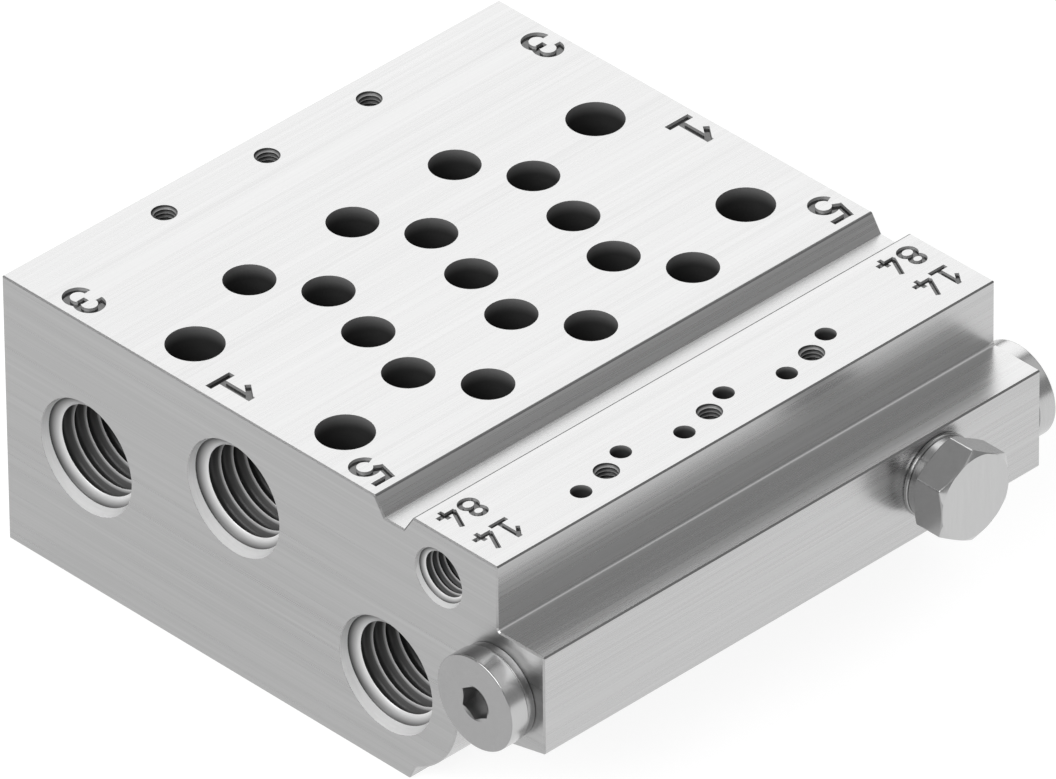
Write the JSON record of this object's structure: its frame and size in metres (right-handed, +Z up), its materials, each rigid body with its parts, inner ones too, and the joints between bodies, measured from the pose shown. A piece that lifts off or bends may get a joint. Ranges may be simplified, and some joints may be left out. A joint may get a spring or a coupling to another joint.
{
  "type": "valve manifold rail",
  "caption": "Machined aluminium manifold rail for solenoid valves, with supply, exhaust and pilot galleries, threaded end ports and blanking plugs.",
  "frame": {"origin": "centre of the four mounting holes, on the underside", "axes": "+Z up, the mounting holes' direction; +Y along the rail and its galleries, towards the side plug's end; +X across it, from exhaust port 3 to the step"},
  "size_m": [0.1219, 0.112, 0.0474],
  "materials": {
    "rail_alloy": "brushed",
    "plug_steel": "turned and plated",
    "seal_alloy": "smooth"
  },
  "bodies": {
    "root": {"rail_body": "rail_alloy", "plug_14_near": "plug_steel", "plug_14_far": "plug_steel", "plug_side": "plug_steel", "seal_ring_14_near": "seal_alloy", "seal_ring_14_far": "seal_alloy", "seal_ring_side": "seal_alloy"}
  },
  "joints": []
}
